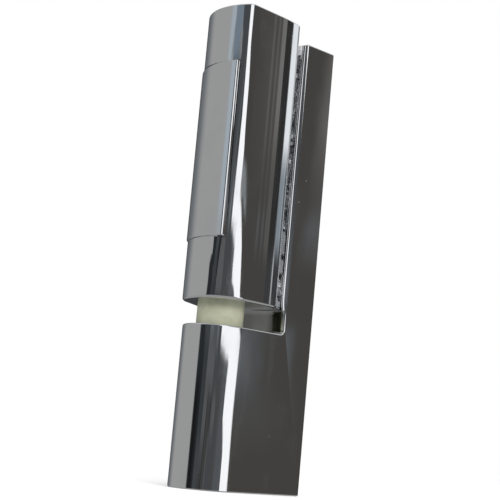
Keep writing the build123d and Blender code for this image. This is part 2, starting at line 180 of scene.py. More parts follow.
class NodeKit:
    """Adds nodes to one node tree."""

    def __init__(self, tree: bpy.types.NodeTree) -> None:
        """Takes the tree and clears it."""
        self.tree = tree
        tree.nodes.clear()

    def node(
        self,
        kind: str,
        settings: dict[str, Any] | None = None,
        sockets: dict[Any, Any] | None = None,
    ) -> bpy.types.Node:
        """Adds one node.

        Args:
            kind: The node's type name.
            settings: Properties, set before the sockets. The key stops takes a ramp's stops.
            sockets: Values or links, by socket name or number.

        Returns:
            The new node.
        """
        made = self.tree.nodes.new(kind)
        for name, setting in (settings or {}).items():
            if name == "stops":
                self._ramp(made.color_ramp, setting)
            else:
                setattr(made, name, setting)
        for key, given in (sockets or {}).items():
            self._give(made.inputs[key], given)
        return made

    def _give(self, socket: bpy.types.NodeSocket, given: Any) -> None:
        """Links or sets an input.

        Args:
            socket: The input.
            given: A Value or a socket to link, or what the input is set to.
        """
        if isinstance(given, Value):
            given = given.socket
        if isinstance(given, bpy.types.NodeSocket):
            self.tree.links.new(given, socket)
        else:
            socket.default_value = given

    @staticmethod
    def _ramp(ramp: bpy.types.ColorRamp, stops: list[tuple[float, tuple[float, ...]]]) -> None:
        """Sets a ramp's stops.

        Args:
            ramp: The ramp, with its first two stops.
            stops: Pairs of place and colour, rising.
        """
        for element, (place, colour) in zip((ramp.elements[0], ramp.elements[1]), (stops[0], stops[-1])):
            element.position = place
            element.color = (*colour, 1.0)
        for place, colour in stops[1:-1]:
            ramp.elements.new(place).color = (*colour, 1.0)

    def maths(self, operation: str, *operands: Operand) -> Value:
        """Adds a Math node and returns its result."""
        made = self.node("ShaderNodeMath", {"operation": operation}, dict(enumerate(operands)))
        return Value(self, made.outputs[0])

    def mix(self, factor: Operand, first: Any, second: Any) -> bpy.types.NodeSocket:
        """Mixes two colours.

        Args:
            factor: How much of the second colour.
            first: Colour socket or tuple of three.
            second: Colour socket or tuple of three.

        Returns:
            The mixed colour's socket.
        """
        made = self.node("ShaderNodeMix", {"data_type": "RGBA"})
        named = {"Factor_Float": factor, "A_Color": first, "B_Color": second}
        for socket in made.inputs:
            if socket.identifier in named:
                given = named[socket.identifier]
                self._give(socket, (*given, 1.0) if isinstance(given, tuple) else given)
        return next(socket for socket in made.outputs if socket.identifier == "Result_Color")

    def object_point(self, scale: tuple[float, float, float] = (1.0, 1.0, 1.0)) -> bpy.types.NodeSocket:
        """Object coordinates, scaled.

        Args:
            scale: Factor along each axis.

        Returns:
            The vector's socket.
        """
        place = self.node("ShaderNodeTexCoord")
        mapped = self.node(
            "ShaderNodeMapping", sockets={"Vector": place.outputs["Object"], "Scale": scale}
        )
        return mapped.outputs["Vector"]

    def split(self, vector: bpy.types.NodeSocket) -> list[Value]:
        """The three parts of a vector."""
        parts = self.node("ShaderNodeSeparateXYZ", sockets={0: vector})
        return [Value(self, part) for part in parts.outputs]

    def place_mm(self) -> list[Value]:
        """Object coordinates in mm, as three numbers."""
        return self.split(self.object_point((1.0 / MM, 1.0 / MM, 1.0 / MM)))

    def noise(
        self, vector: bpy.types.NodeSocket, scale: float, detail: float = 2.0, rough: float = 0.5
    ) -> Value:
        """Noise around 0.5.

        Args:
            vector: Where the noise is read.
            scale: Its scale, per metre.
            detail: Its octaves.
            rough: How strong the finer octaves are.

        Returns:
            The noise's value.
        """
        made = self.node(
            "ShaderNodeTexNoise",
            sockets={"Vector": vector, "Scale": scale, "Detail": detail, "Roughness": rough},
        )
        return Value(self, made.outputs["Fac"])

    def bump(self, height: Value) -> bpy.types.NodeSocket:
        """The normal of a surface that rises by a height in mm."""
        made = self.node("ShaderNodeBump", sockets={"Height": height, "Distance": MM, "Strength": 1.0})
        return made.outputs["Normal"]

    def surface(self, kind: str, sockets: dict[str, Any]) -> None:
        """Adds a shader and makes it the surface of the material.

        Args:
            kind: The shader node's type name.
            sockets: Values or links, by socket name.
        """
        shader = self.node(kind, sockets=sockets)
        self.node("ShaderNodeOutputMaterial", sockets={"Surface": shader.outputs[0]})


def grey(tone: float, warm: float = 0.0) -> tuple[float, float, float]:
    """A near-neutral linear colour.

    Args:
        tone: Its lightness as the screen shows it, from 0 to 255.
        warm: Share by which red is raised and blue lowered, or the other way where negative.

    Returns:
        Linear red, green and blue.
    """
    linear = ((tone / 255 + 0.055) / 1.055) ** 2.4 if tone > 10 else tone / 255 / 12.92
    return (linear * (1 + warm), linear, linear * (1 - warm))


def new_material(name: str) -> tuple[bpy.types.Material, NodeKit]:
    """Adds an empty material.

    Args:
        name: Its name.
    """
    made = bpy.data.materials.new(name)
    made.use_nodes = True
    return made, NodeKit(made.node_tree)


@dataclass(frozen=True)
class CastChrome:
    """Polished chrome plate on a zinc casting.

    Heights of waves and pits are in mm. A mask's sides are pairs of places, in mm, where it is 0 and
    where it is 1.
    """

    name: str = "chrome_plate"
    colour: tuple[float, float, float] = (0.90, 0.905, 0.91)
    smudge_colour: tuple[float, float, float] = (0.80, 0.815, 0.83)
    # Colour of the painted shade on the flange's front beside the collar, under the leaf
    painted_shade_colour: tuple[float, float, float] = (0.12, 0.125, 0.105)
    roughness: float = 0.035
    smudge_roughness: float = 0.054
    streak_roughness: float = 0.04
    streak_stretch: tuple[float, float, float] = (1.0, 1.0, 0.12)
    wave_height: float = 0.03
    ripple_height: float = 0.0006
    pit_depth: float = 0.02
    # The narrow gap between the leaf's back and the flange, where the plate lies flat
    gap_front: tuple[float, float] = (16.8, 17.4)
    gap_back: tuple[float, float] = (20.6, 20.0)
    gap_right: tuple[float, float] = (12.6, 12.0)
    gap_foot: tuple[float, float] = (58.0, 70.0)
    # The flange's front beside the collar, under the leaf, where a dark patch of painted shade stands for
    # the dark reflection of the leaf's shaded underside and the collar
    shade_patch_right: tuple[float, float] = (11.6, 10.6)
    shade_patch_front: tuple[float, float] = (19.2, 19.7)
    shade_patch_back: tuple[float, float] = (22.0, 21.4)
    shade_patch_foot: tuple[float, float] = (55.0, 55.4)
    shade_patch_top: tuple[float, float] = (67.0, 62.0)
    shade_patch_left: tuple[float, float] = (3.0, 9.0)

    def height(self, kit: NodeKit) -> Value:
        """The plate's waves, ripples and few pits.


        Returns:
            The height in mm.
        """
        point = kit.object_point()
        wave = kit.noise(point, scale=42.0, detail=1.0, rough=0.4)
        ripple = kit.noise(kit.object_point(self.streak_stretch), scale=190.0)
        cells = kit.node("ShaderNodeTexVoronoi", {"feature": "F1"}, {"Vector": point, "Scale": 240.0})
        pit = Value(kit, cells.outputs["Distance"]).rise(0.055, 0.02)
        rare = kit.noise(point, scale=70.0, detail=0.0).rise(0.62, 0.66)
        return wave * self.wave_height + ripple * self.ripple_height - pit * rare * self.pit_depth

    def material(self) -> bpy.types.Material:
        """Makes the material.

        Returns:
            The material.
        """
        made, kit = new_material(self.name)
        smudge = kit.noise(kit.object_point(), scale=55.0, detail=4.0, rough=0.6).rise(0.48, 0.72)
        streak_point = kit.object_point(self.streak_stretch)
        streak = kit.noise(streak_point, scale=260.0, detail=3.0, rough=0.6).rise(0.5, 0.75)
        x, y, z = kit.place_mm()
        depth = y.rise(*self.gap_front) * y.rise(*self.gap_back)
        in_gap = depth * x.rise(*self.gap_right) * z.rise(*self.gap_foot)
        # Painted shade: a dark patch on the flange's front beside the collar and under the leaf, stronger
        # from left to right, standing for the dark reflection of the leaf's underside and the collar
        depth = y.rise(*self.shade_patch_front) * y.rise(*self.shade_patch_back)
        painted_shade = x.rise(*self.shade_patch_right) * depth * z.rise(*self.shade_patch_foot) * z.rise(*self.shade_patch_top)
        shade_strength = 0.74 + 0.28 * x.rise(*self.shade_patch_left) + 0.1 * smudge
        tint = kit.mix(smudge * 0.35, self.colour, self.smudge_colour)
        kit.surface("ShaderNodeBsdfPrincipled", {
            "Base Color": kit.mix(painted_shade * shade_strength, tint, self.painted_shade_colour),
            "Metallic": 1.0,
            "Roughness": self.roughness + self.smudge_roughness * smudge + self.streak_roughness * streak,
            "Normal": kit.bump(self.height(kit) * (1.0 - in_gap)),
        })
        return made


@dataclass(frozen=True)
class MouldedNylon:
    """Ivory nylon, slightly waxy, with random darker mottle and painted shade on the collar's top just
    under the leaf.
    """

    name: str = "ivory_nylon"
    colour: tuple[float, float, float] = (0.40, 0.405, 0.30)
    # Darker colour of both the random mottle and the painted shade under the leaf
    mottle_and_shade_colour: tuple[float, float, float] = (0.25, 0.265, 0.185)
    # Heights over which painted shade darkens the collar towards the leaf's underside
    leaf_shade_heights: tuple[float, float] = (60.8, 63.4)
    roughness: float = 0.34
    mottle_roughness: float = 0.14
    grain_height: float = 0.01
    mottle_height: float = 0.02

    def material(self) -> bpy.types.Material:
        """Makes the material.

        Returns:
            The material.
        """
        made, kit = new_material(self.name)
        point = kit.object_point()
        mottle = kit.noise(point, scale=320.0, detail=4.0, rough=0.6)
        grain = kit.noise(point, scale=2600.0, detail=3.0, rough=0.6)
        _, _, z = kit.place_mm()
        # Darker in random mottle, and by painted shade near the top of the collar, under the leaf
        dark = mottle.rise(0.35, 0.75) * 0.4 + z.rise(*self.leaf_shade_heights) * 0.6
        kit.surface("ShaderNodeBsdfPrincipled", {
            "Base Color": kit.mix(dark, self.colour, self.mottle_and_shade_colour),
            "Roughness": self.roughness + mottle * self.mottle_roughness,
            "Subsurface Weight": 0.25,
            "Subsurface Radius": (0.8, 0.8, 0.5),
            "Subsurface Scale": 1.5 * MM,
            "Normal": kit.bump(grain * self.grain_height + mottle * self.mottle_height),
        })
        return made


@dataclass(frozen=True)
class TurnedSteel:
    """Plain steel with fine turning marks."""

    name: str
    colour: tuple[float, float, float]
    roughness: float
    mark_scale: float = 3200.0
    mark_height: float = 0.004

    def material(self) -> bpy.types.Material:
        """Makes the material.

        Returns:
            The material.
        """
        made, kit = new_material(self.name)
        along_pin = kit.object_point((0.05, 0.05, 1.0))
        rings = kit.noise(along_pin, scale=self.mark_scale, rough=0.6)
        stain = kit.noise(kit.object_point(), scale=180.0, detail=4.0, rough=0.6)
        stained = tuple(0.7 * part for part in self.colour)
        kit.surface("ShaderNodeBsdfPrincipled", {
            "Base Color": kit.mix(stain.rise(0.45, 0.8) * 0.5, self.colour, stained),
            "Metallic": 1.0,
            "Roughness": self.roughness + 0.12 * rings + 0.1 * stain.rise(0.5, 0.8),
            "Normal": kit.bump(rings * self.mark_height),
        })
        return made


def wear(
    piece: bpy.types.Object, body: Body, material: bpy.types.Material, node: str
) -> None:
    """Dresses a finished piece and says what it is to the frame.

    Args:
        piece: The piece, at the origin.
        body: The body that it rides on.
        material: Its material.
        node: The CAD node that it stands for.
    """
    piece.data.materials.clear()
    piece.data.materials.append(material)
    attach(piece, body.value)
    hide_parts(node)
    LOG.info("%s: %d faces on %s", piece.name, len(piece.data.polygons), body.value)


def joined(node: str) -> bmesh.types.BMesh:
    """A copy of a CAD node with its triangles joined into whole faces.

    Args:
        node: The CAD node.

    Returns:
        The open mesh.
    """
    build = bmesh.new()
    build.from_mesh(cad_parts[node].data)
    bmesh.ops.remove_doubles(build, verts=build.verts, dist=2 * SMALLEST_EDGE)
    bmesh.ops.dissolve_degenerate(build, edges=build.edges, dist=SMALLEST_EDGE)
    bmesh.ops.dissolve_limit(
        build, angle_limit=FLAT_ANGLE, verts=build.verts, edges=build.edges, delimit=set()
    )
    return build


def close(build: bmesh.types.BMesh, name: str, crease: float = 24.0) -> bpy.types.Object:
    """Closes an open mesh into a piece whose shading is smooth between hard edges.

    Args:
        build: The open mesh, freed afterwards.
        name: Name of the new piece.
        crease: Angle in degrees from which an edge is hard.

    Returns:
        The new piece.
    """
    bmesh.ops.triangulate(build, faces=[face for face in build.faces if len(face.verts) > 4])
    for face in build.faces:
        face.smooth = True
    for edge in build.edges:
        edge.smooth = len(edge.link_faces) == 2 and edge.calc_face_angle(0.0) < radians(crease)
    mesh = bpy.data.meshes.new(name)
    build.to_mesh(mesh)
    build.free()
    piece = bpy.data.objects.new(name, mesh)
    bpy.context.scene.collection.objects.link(piece)
    weigh = piece.modifiers.new("weighted", "WEIGHTED_NORMAL")
    weigh.keep_sharp = True
    return piece


def cut(build: bmesh.types.BMesh, faces: list[bmesh.types.BMFace], place: Vector, way: Vector) -> None:
    """Cuts some faces of an open mesh by a plane.

    Args:
        build: The open mesh, in metres.
        faces: The faces to cut.
        place: A point of the plane, in mm.
        way: The plane's normal.
    """
    parts = dict.fromkeys(faces)
    for face in faces:
        parts.update(dict.fromkeys(face.edges))
        parts.update(dict.fromkeys(face.verts))
    bmesh.ops.bisect_plane(build, geom=list(parts), dist=1e-7, plane_co=place * MM, plane_no=way)


@dataclass(frozen=True, kw_only=True)
class SoftCorner:
    """Upright corner with a wider arc than the solids have, in mm.

    The solids' arc and the new one touch the same two faces. The corner's skin is cut finely and moved
    onto the new arc, each point at its own depth. Radii are pairs of height and radius, from low to high.
    """

    side_x: float
    cast_radius: float
    radii: tuple[tuple[float, float], ...]
    # Points deeper than the skin stay, and faces that reach deeper than cut_skin aren't cut
    skin: float = 2.2
    cut_skin: float = 0.75
    # How far a point may lie off the outline or beyond the ends, and how far beyond the arc's centre
    # a face may start and still count
    slack: float = 0.1
    margin: float = 1.0
    # Degrees between two cuts round the corner, and about the height between two level cuts
    turn_step: int = 6
    level_step: float = 5.5

    def centre(self, radius: float) -> tuple[float, float]:
        """Centre of the corner's arc of a given radius, as x and y."""
        raise NotImplementedError

    def join(self, radius: float) -> float:
        """Turn at which the front meets the corner's arc of a given radius."""
        raise NotImplementedError

    def depth(self, x: float, y: float) -> float:
        """How far a point lies inside the outline of the solids."""
        raise NotImplementedError

    def slid(self, x: float, y: float, z: float) -> float | None:
        """New y of a point that keeps its x, or None where points move along the arc's rays."""
        return None

    def radius_at(self, height: float) -> float:
        """Radius of the corner at a height.

        Args:
            height: The height.

        Returns:
            The radius, straight between the given ones and level beyond them.
        """
        for (low, first), (high, last) in zip(self.radii, self.radii[1:]):
            if height <= high:
                share = max(0.0, (height - low) / (high - low))
                return first + (last - first) * share
        return self.radii[-1][1]

    def moved(self, x: float, y: float, z: float) -> tuple[float, float]:
        """New place of a point on the wider arc, at the same depth.

        Args:
            x: The point's x.
            y: Its y.
            z: Its height.

        Returns:
            Its new x and y. A point that isn't in the corner's skin keeps them.
        """
        depth = self.depth(x, y)
        radius = self.radius_at(z)
        corner_x, corner_y = self.centre(radius)
        turn = atan2(x - corner_x, corner_y - y)
        if not (-self.slack < depth < self.skin and self.join(radius) < turn < pi / 2):
            return x, y
        slid_y = self.slid(x, y, z)
        if slid_y is not None:
            return x, slid_y
        arm = radius - depth
        return corner_x + arm * sin(turn), corner_y - arm * cos(turn)

    def skin_faces(self, build: bmesh.types.BMesh, low: float, high: float) -> list[bmesh.types.BMFace]:
        """The faces that lie in the skin of the corner.

        Args:
            build: The open mesh, in metres.
            low: Lowest height of the corner.
            high: Its highest height.

        Returns:
            The faces, except those of the top.
        """
        corner_x, corner_y = self.centre(max(radius for _, radius in self.radii))
        chosen = []
        for face in build.faces:
            places = [vert.co / MM for vert in face.verts]
            near = any(
                place.x > corner_x - self.margin and place.y < corner_y + self.margin for place in places
            )
            inside = all(
                -self.slack < self.depth(place.x, place.y) < self.cut_skin and place.z > low - self.slack
                for place in places
                if place.z < high + self.slack
            )
            if near and inside and any(place.z < high - self.margin for place in places):
                chosen.append(face)
        return chosen

    def shape(self, build: bmesh.types.BMesh, low: float, high: float) -> None:
        """Cuts the skin of the corner finely and moves it to the wider arc.

        Args:
            build: The open mesh, in metres.
            low: Lowest height of the corner.
            high: Its highest height.
        """
        corner_x, corner_y = self.centre(max(radius for _, radius in self.radii))
        turns = [radians(step) for step in range(self.turn_step, 91, self.turn_step)]
        cuts = [(Vector((corner_x, corner_y, 0)), Vector((cos(turn), sin(turn), 0))) for turn in turns]
        cuts.append((Vector((0, corner_y + self.margin, 0)), Vector((0, 1, 0))))
        levels = int((high - low) / self.level_step)
        cuts += [
            (Vector((0, 0, low + (high - low) * level / levels)), Vector((0, 0, 1)))
            for level in range(1, levels)
        ]
        for place, way in cuts:
            cut(build, self.skin_faces(build, low, high), place, way)
        for vert in build.verts:
            x, y, z = vert.co / MM
            in_reach = x > corner_x - self.margin and y < corner_y + self.margin / 2
            if in_reach and low - self.slack < z < high + self.slack:
                x, y = self.moved(x, y, z)
                vert.co.x, vert.co.y = x * MM, y * MM


@dataclass(frozen=True, kw_only=True)
class NoseCorner(SoftCorner):
    """Soft corner between a curved nose and the flat right side, in mm.

    Between the kept heights and left of the kept x, where the cover's recess is, points slide forwards
    only, so that the recess keeps its straight edge.
    """

    nose_x: float
    nose_y: float
    nose_radius: float
    kept_low: float = 0.0
    kept_high: float = 0.0
    kept_x: float = 0.0

    def centre(self, radius: float) -> tuple[float, float]:
        """Centre of the arc of a given radius that touches both nose and side, as x and y."""
        aside = self.side_x - radius
        return aside, self.nose_y - sqrt((self.nose_radius - radius) ** 2 - (aside - self.nose_x) ** 2)

    def join(self, radius: float) -> float:
        """Turn at which the nose meets the corner's arc of a given radius."""
        corner_x, corner_y = self.centre(radius)
        return atan2(corner_x - self.nose_x, self.nose_y - corner_y)

    def depth(self, x: float, y: float) -> float:
        """How far a point lies inside the outline of the solids.

        Args:
            x: The point's x.
            y: Its y.

        Returns:
            Its distance from the corner's arc, the side or the nose, whichever it lies behind.
        """
        corner_x, corner_y = self.centre(self.cast_radius)
        turn = atan2(x - corner_x, corner_y - y)
        if self.join(self.cast_radius) < turn < pi / 2 and x > corner_x:
            return self.cast_radius - hypot(x - corner_x, y - corner_y)
        if y > corner_y:
            return self.side_x - x
        return self.nose_radius - hypot(x - self.nose_x, y - self.nose_y)

    def slid(self, x: float, y: float, z: float) -> float | None:
        """New y of a point that keeps its x.

        Args:
            x: The point's x.
            y: Its y.
            z: Its height.

        Returns:
            The new y, or None outside the kept part.
        """
        if not (self.kept_low < z < self.kept_high and x < self.kept_x):
            return None
        radius = self.radius_at(z)
        corner_x, corner_y = self.centre(radius)
        was = self.nose_y - sqrt(self.nose_radius ** 2 - (x - self.nose_x) ** 2)
        return y + corner_y - sqrt(radius ** 2 - (x - corner_x) ** 2) - was


@dataclass(frozen=True, kw_only=True)
class FlangeEdge(SoftCorner):
    """Rounded edge between the flange's front and its right side, in mm."""

    front_y: float

    def centre(self, radius: float) -> tuple[float, float]:
        """Centre of the arc of a given radius that touches both front and side, as x and y."""
        return self.side_x - radius, self.front_y + radius

    def join(self, radius: float) -> float:
        """Turn at which the flat front meets the edge's arc, whatever its radius."""
        return 0.0

    def depth(self, x: float, y: float) -> float:
        """How far a point lies inside the outline of the solids.

        Args:
            x: The point's x.
            y: Its y.

        Returns:
            Its distance from the edge's arc, the side or the front, whichever it lies behind.
        """
        corner_x, corner_y = self.centre(self.cast_radius)
        if x > corner_x and y < corner_y:
            return self.cast_radius - hypot(x - corner_x, y - corner_y)
        return self.side_x - x if y >= corner_y else y - self.front_y


@dataclass
class FrameLeaf:
    """Block and flange, one chromed casting. Sizes in mm."""

    node: str = "frame_leaf"
    block_top: float = 55.6
    flange_foot: float = 57.0
    flange_top: float = 162.0
    corner: NoseCorner = NoseCorner(
        nose_x=1.1, nose_y=1.2, nose_radius=14.3, side_x=12.7, cast_radius=4.0,
        radii=((0.0, 10.4), (27.0, 9.6), (55.6, 10.9)),
    )
    edge: FlangeEdge = FlangeEdge(
        front_y=19.8, side_x=12.7, cast_radius=0.6, radii=((57.0, 0.6), (60.5, 2.8), (162.0, 2.8)),
    )

    def build(self, chrome: bpy.types.Material) -> None:
        """Makes and dresses the casting.

        Args:
            chrome: Its material.
        """
        build = joined(self.node)
        self.corner.shape(build, 0.0, self.block_top)
        self.edge.shape(build, self.flange_foot, self.flange_top)
        wear(close(build, "frame_casting"), Body.FRAME, chrome, self.node)


@dataclass
class DoorLeaf:
    """Door leaf, one chromed casting. Sizes in mm.

    In the solids the right side bends over a short arc and then runs straight to the back corner. Here
    the same arc goes on to the back corner.
    """

    node: str = "door_leaf"
    bottom: float = 64.2
    top: float = 167.0
    side_x: float = 13.9
    # The bend between the side and the slanted flat behind it: its place, round, turn and the flat's end
    bend_y: float = 4.0
    bend_radius: float = 60.0
    bend_turn: float = radians(7.953)
    bend_end: float = 12.26
    back_corner_x: float = 6.6
    # The upright cuts along the rear of the side, and how deep its faces and points may lie
    rear_start: float = -0.6
    rear_step: float = 1.0
    rear_cuts: int = 14
    rear_skin: float = 2.6
    slack: float = 0.05
    corner: NoseCorner = NoseCorner(
        nose_x=4.0, nose_y=7.8, nose_radius=22.0, side_x=13.9, cast_radius=3.0,
        radii=(
            (64.2, 10.0), (76.0, 9.2), (90.0, 7.6), (107.0, 5.8), (125.0, 4.2), (146.0, 3.4), (167.0, 3.0),
        ),
        kept_low=84.6, kept_high=147.1, kept_x=11.6,
    )

    def rear_shift(self, y: float) -> float:
        """How far the rear of the right side moves out at a place along it.

        Args:
            y: The place.

        Returns:
            The shift along x. It holds its last value behind the back corner.
        """
        y = min(y, self.bend_end)
        half = self.bend_radius * tan(self.bend_turn / 2)
        middle = self.side_x - self.bend_radius
        was = self.side_x
        if y > self.bend_y + half * cos(self.bend_turn):
            was = self.side_x - (y - self.bend_y) * tan(self.bend_turn)
        elif y > self.bend_y - half:
            was = middle + sqrt(self.bend_radius ** 2 - (y - self.bend_y + half) ** 2)
        now = self.side_x
        if y > self.bend_y:
            now = middle + sqrt(self.bend_radius ** 2 - (y - self.bend_y) ** 2)
        return now - was

    def curve_rear(self, build: bmesh.types.BMesh) -> None:
        """Cuts the rear of the right side finely and curves it evenly.

        Args:
            build: The open mesh, in metres.
        """
        skin_x = self.side_x - self.rear_skin
        for step in range(self.rear_cuts):
            faces = [face for face in build.faces if all(vert.co.x > skin_x * MM for vert in face.verts)]
            cut(build, faces, Vector((0, self.rear_start + self.rear_step * step, 0)), Vector((0, 1, 0)))
        for vert in build.verts:
            x, y, _ = vert.co / MM
            behind = x > self.back_corner_x - self.slack and y > self.rear_start
            if behind and (x > skin_x or y > self.bend_end):
                vert.co.x += self.rear_shift(y) * MM

    def build(self, chrome: bpy.types.Material) -> None:
        """Makes and dresses the casting.

        Args:
            chrome: Its material.
        """
        build = joined(self.node)
        self.curve_rear(build)
        self.corner.shape(build, self.bottom, self.top)
        wear(close(build, "door_casting"), Body.LEAF, chrome, self.node)


@dataclass
class NoseCover:
    """Snap-on cover of the door leaf's nose, chromed like the leaf. Sizes in mm.

    Its face is a little flatter than the nose, and its rim and right edge are rounded.
    """

    node: str = "cover_plate"
    # The leaf's nose, and how far the solids' cover stands proud of it
    nose_x: float = 4.0
    nose_y: float = 7.8
    nose_radius: float = 22.0
    proud: float = 0.5
    # The flatter face: where it starts and ends, its crest, how far the crest stands out, its radius
    left_x: float = -12.0
    right_x: float = 11.0
    face_x: float = 6.2
    face_reach: float = 14.82
    face_radius: float = 27.6
    # Width and count of the upright strips that the face is cut into
    strip: float = 0.9
    strips: int = 26
    # Where the outer skin ends: the lip at the far left, and the face beside it
    lip_x: float = -19.0
    lip_y: float = 5.95
    face_y: float = 5.9
    side_round: float = 0.9
    rim_round: float = 0.35
    # What makes an edge long enough for the side's round and sharp enough for the rim's
    long_edge: float = 5.0
    rim_angle: float = radians(60)
    slack: float = 0.1
    side_slack: float = 0.01

    def from_nose(self, x: float, y: float) -> float:
        """Distance of a point from the centre of the leaf's nose."""
        return hypot(x - self.nose_x, y - self.nose_y)

    def flatten(self, build: bmesh.types.BMesh) -> None:
        """Cuts the cover into upright strips and lays its face on the flatter curve.

        Args:
            build: The open mesh, in metres.
        """
        for step in range(self.strips):
            place = Vector((self.left_x + self.strip * step, 0, 0))
            cut(build, list(build.faces), place, Vector((1, 0, 0)))
        outer = self.nose_radius + self.proud
        for vert in build.verts:
            x, y, _ = vert.co / MM
            if x < self.left_x or y > 0 or self.from_nose(x, y) < self.nose_radius:
                continue
            was = self.nose_y - sqrt(outer ** 2 - (x - self.nose_x) ** 2)
            now = self.face_radius - self.face_reach - sqrt(self.face_radius ** 2 - (x - self.face_x) ** 2)
            vert.co.y += (now - was) * MM

    def on_face(self, vert: bmesh.types.BMVert) -> bool:
        """Whether a point belongs to the cover's outer skin.

        Args:
            vert: The point.

        Returns:
            True on the curved face and on the lip at its far left.
        """
        x, y, _ = vert.co / MM
        on_curve = self.from_nose(x, y) > self.nose_radius - self.slack and y < self.face_y
        on_lip = x < self.lip_x and y < self.lip_y
        return on_curve or on_lip

    def side_edges(self, build: bmesh.types.BMesh) -> list[bmesh.types.BMEdge]:
        """The upright edges at the face's right end.

        Args:
            build: The open mesh, in metres.

        Returns:
            The edges.
        """
        side_x = (self.right_x - self.side_slack) * MM
        return [
            edge
            for edge in build.edges
            if all(vert.co.x > side_x and self.on_face(vert) for vert in edge.verts)
            and abs(edge.verts[0].co.z - edge.verts[1].co.z) > self.long_edge * MM
        ]

    def rim_edges(self, build: bmesh.types.BMesh) -> list[bmesh.types.BMEdge]:
        """The sharp edges round the face's foot and top.

        Args:
            build: The open mesh, in metres.

        Returns:
            The edges.
        """
        heights = [vert.co.z for vert in build.verts]
        ends = (min(heights), max(heights))
        return [
            edge
            for edge in build.edges
            if len(edge.link_faces) == 2
            and edge.calc_face_angle(0.0) > self.rim_angle
            and all(self.on_face(vert) for vert in edge.verts)
            and any(all(abs(vert.co.z - end) < SMALLEST_EDGE for vert in edge.verts) for end in ends)
        ]

    def build(self, chrome: bpy.types.Material) -> None:
        """Makes and dresses the cover, its rim and right edge rounded.

        Args:
            chrome: Its material.
        """
        build = joined(self.node)
        self.flatten(build)
        bmesh.ops.bevel(
            build, geom=self.side_edges(build), offset=self.side_round * MM, segments=5, profile=0.5,
            affect="EDGES",
        )
        bmesh.ops.bevel(
            build, geom=self.rim_edges(build), offset=self.rim_round * MM, segments=3, profile=0.5,
            affect="EDGES",
        )
        wear(close(build, "nose_cover"), Body.LEAF, chrome, self.node)


